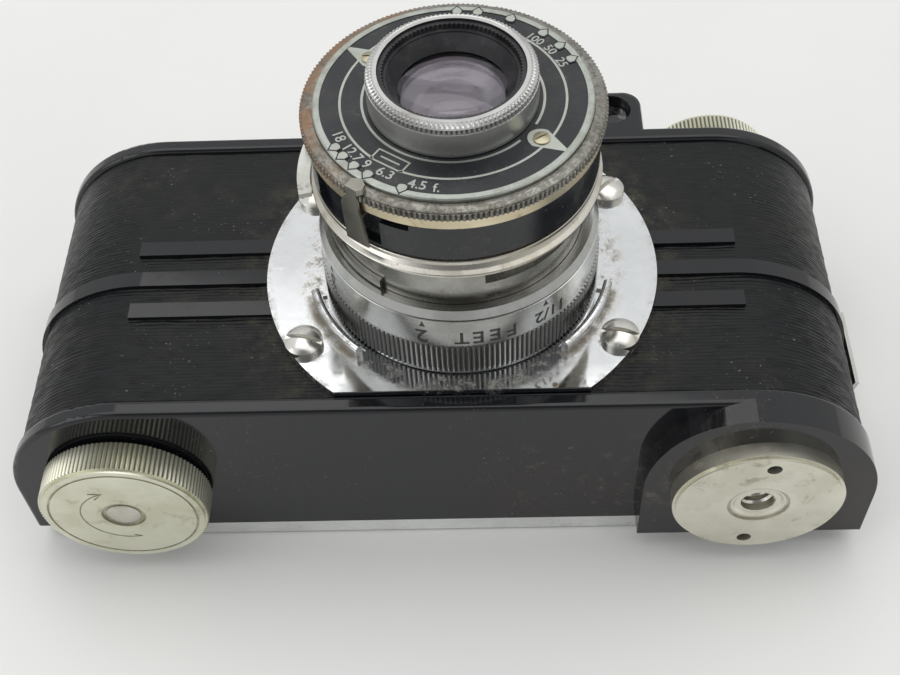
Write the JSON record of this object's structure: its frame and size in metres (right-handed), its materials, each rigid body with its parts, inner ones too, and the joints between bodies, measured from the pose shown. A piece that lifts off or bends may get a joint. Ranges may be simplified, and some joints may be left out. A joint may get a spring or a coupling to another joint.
{
  "type": "viewfinder camera",
  "caption": "Small 35 mm film camera lying on its back: moulded body, viewfinder housing, lift-off back and a collapsing focusing lens with leaf shutter and iris.",
  "frame": {"origin": "where the lens axis meets the back's flat outer face, on which the camera lies", "axes": "+Z along the lens axis, out of the front; +Y towards the camera's top; +X towards the winding end"},
  "size_m": [0.136, 0.0748, 0.0759],
  "materials": {
    "bakelite": "glossy moulded Bakelite, ribbed leather-like skin on the front",
    "chrome_plate": "polished, lightly hazed",
    "screws": "polished",
    "brass": "aged satin",
    "black_metal": "matt black",
    "nickel_disc": "matt nickel, yellowed",
    "optic": "polished, faint coating",
    "back_alloy": "satin",
    "spring_brass": "spring temper",
    "nickel": "satin nickel",
    "spool_plastic": "matt",
    "ring_nickel": "turned, bright nickel",
    "black_enamel": "semi-gloss black enamel",
    "worn_nickel": "pitted nickel"
  },
  "bodies": {
    "body": {"body_shell": "bakelite", "lens_plate": "chrome_plate", "plate_screws": "screws", "focus_mount": "brass", "film_gate": "black_metal", "tripod_bush": "nickel_disc", "finder_front_lens": "optic", "finder_eyepiece": "black_metal", "finder_rear_lens": "optic", "rewind_bush": "brass", "wind_bush": "nickel_disc", "catch_bush": "screws", "sprocket_bearings": "brass"},
    "back": {"back_cover": "back_alloy", "pressure_springs": "spring_brass", "cassette_spring": "spring_brass"},
    "film_pressure": {"pressure_plate": "black_metal"},
    "latch": {"back_latch": "nickel"},
    "rewind": {"rewind_knob": "nickel_disc", "rewind_fork": "nickel", "rewind_rivet": "nickel"},
    "winder": {"wind_knob": "nickel_disc", "wind_screw": "screws", "take_up_spool": "spool_plastic", "ratchet_wheel": "brass"},
    "pawl": {"ratchet_pawl": "nickel"},
    "film_sprocket": {"sprocket": "nickel", "counter_nut": "screws"},
    "counter": {"counter_dial": "nickel"},
    "catch": {"film_catch": "screws"},
    "focus": {"focus_ring": "ring_nickel"},
    "sleeve": {"helicoid_sleeve": "nickel"},
    "barrel": {"barrel_tube": "ring_nickel", "shutter_flange": "nickel", "shutter_case": "black_enamel", "case_band": "brass", "mechanism_plate": "brass", "face_plate": "black_enamel", "face_screws": "brass", "front_cell": "ring_nickel", "retaining_ring": "black_metal", "front_lens": "optic", "middle_lens": "optic", "rear_cell": "black_metal", "rear_lens": "optic"},
    "speeds": {"speed_ring": "worn_nickel"},
    "aperture": {"aperture_lever": "worn_nickel", "aperture_cam": "black_metal"},
    "release": {"release_lever": "worn_nickel"},
    "leaf_1": {"shutter_blade_1": "black_metal"},
    "leaf_2": {"shutter_blade_2": "black_metal"},
    "iris_1": {"iris_blade_1": "black_metal"},
    "iris_2": {"iris_blade_2": "black_metal"},
    "iris_3": {"iris_blade_3": "black_metal"},
    "iris_4": {"iris_blade_4": "black_metal"},
    "iris_5": {"iris_blade_5": "black_metal"}
  },
  "joints": [
    {"name": "back_lift", "type": "slide", "parent": "body", "child": "back", "axis": [0, 0, -1], "range_m": [0, 0.02]},
    {"name": "pressure_float", "type": "slide", "parent": "back", "child": "film_pressure", "axis": [0, 0, -1], "range_m": [0, 0.001], "stiffness_N_per_m": 200, "springref_m": -0.001, "deforming": ["pressure_springs"]},
    {"name": "latch_swing", "type": "hinge", "parent": "back", "child": "latch", "pos_m": [0.0637, 0, 0.0024], "axis": [0, 1, 0], "range_deg": [0, 25], "stiffness_Nm_per_rad": 0.02, "springref_deg": -11.46},
    {"name": "rewind_turn", "type": "hinge", "parent": "body", "child": "rewind", "pos_m": [-0.0523, 0, 0.0171], "axis": [0, 1, 0], "continuous": true},
    {"name": "wind_turn", "type": "hinge", "parent": "body", "child": "winder", "pos_m": [0.0441, 0, 0.0171], "axis": [0, 1, 0], "continuous": true},
    {"name": "pawl_lift", "type": "hinge", "parent": "body", "child": "pawl", "pos_m": [0.03709, 0.024, 0.02545], "axis": [0, 1, 0], "range_deg": [-8, 0], "stiffness_Nm_per_rad": 0.002, "springref_deg": 17.19},
    {"name": "sprocket_turn", "type": "hinge", "parent": "body", "child": "film_sprocket", "pos_m": [-0.03, 0, 0.01355], "axis": [0, 1, 0], "continuous": true},
    {"name": "counter_turn", "type": "hinge", "parent": "body", "child": "counter", "pos_m": [-0.03, 0.031, 0.01355], "axis": [0, 1, 0], "continuous": true},
    {"name": "catch_press", "type": "slide", "parent": "body", "child": "catch", "axis": [0, -1, 0], "range_m": [0, 0.0015], "stiffness_N_per_m": 300, "springref_m": -0.002},
    {"name": "focus_turn", "type": "hinge", "parent": "body", "child": "focus", "pos_m": [0, 0, 0.042], "axis": [0, 0, 1], "range_deg": [-172, 0]},
    {"name": "sleeve_travel", "type": "slide", "parent": "body", "child": "sleeve", "axis": [0, 0, 1], "range_m": [0, 0.00615]},
    {"name": "barrel_collapse", "type": "slide", "parent": "sleeve", "child": "barrel", "axis": [0, 0, 1], "range_m": [-0.006, 0]},
    {"name": "speed_turn", "type": "hinge", "parent": "barrel", "child": "speeds", "pos_m": [0, 0, 0.07], "axis": [0, 0, 1], "range_deg": [-52, 14]},
    {"name": "aperture_turn", "type": "hinge", "parent": "barrel", "child": "aperture", "pos_m": [0, 0, 0.066], "axis": [0, 0, 1], "range_deg": [-22, 16]},
    {"name": "release_press", "type": "hinge", "parent": "barrel", "child": "release", "pos_m": [0, 0, 0.061], "axis": [0, 0, 1], "range_deg": [-12, 0], "stiffness_Nm_per_rad": 0.02, "springref_deg": 11.46},
    {"name": "leaf_1_turn", "type": "hinge", "parent": "barrel", "child": "leaf_1", "pos_m": [0.014, 0, 0.062], "axis": [0, 0, 1], "range_deg": [0, 52.5]},
    {"name": "leaf_2_turn", "type": "hinge", "parent": "barrel", "child": "leaf_2", "pos_m": [-0.014, 0, 0.062], "axis": [0, 0, 1], "range_deg": [0, 52.5]},
    {"name": "iris_1_turn", "type": "hinge", "parent": "barrel", "child": "iris_1", "pos_m": [0.01222, 0.00445, 0.064], "axis": [0, 0, 1], "range_deg": [-12.5, 17]},
    {"name": "iris_2_turn", "type": "hinge", "parent": "barrel", "child": "iris_2", "pos_m": [-0.00045, 0.01299, 0.064], "axis": [0, 0, 1], "range_deg": [-12.5, 17]},
    {"name": "iris_3_turn", "type": "hinge", "parent": "barrel", "child": "iris_3", "pos_m": [-0.0125, 0.00358, 0.064], "axis": [0, 0, 1], "range_deg": [-12.5, 17]},
    {"name": "iris_4_turn", "type": "hinge", "parent": "barrel", "child": "iris_4", "pos_m": [-0.00727, -0.01078, 0.064], "axis": [0, 0, 1], "range_deg": [-12.5, 17]},
    {"name": "iris_5_turn", "type": "hinge", "parent": "barrel", "child": "iris_5", "pos_m": [0.008, -0.01024, 0.064], "axis": [0, 0, 1], "range_deg": [-12.5, 17]}
  ],
  "couplings": [
    {"joint": "counter_turn", "follows": "sprocket_turn", "ratio": -0.025},
    {"joint": "sleeve_travel", "follows": "focus_turn", "m_per_rad": -0.0020453},
    {"joint": "leaf_1_turn", "follows": "release_press", "ratio": -4.3333},
    {"joint": "leaf_2_turn", "follows": "release_press", "ratio": -4.3333},
    {"joint": "iris_1_turn", "follows": "aperture_turn", "ratio": -0.75},
    {"joint": "iris_2_turn", "follows": "aperture_turn", "ratio": -0.75},
    {"joint": "iris_3_turn", "follows": "aperture_turn", "ratio": -0.75},
    {"joint": "iris_4_turn", "follows": "aperture_turn", "ratio": -0.75},
    {"joint": "iris_5_turn", "follows": "aperture_turn", "ratio": -0.75}
  ]
}
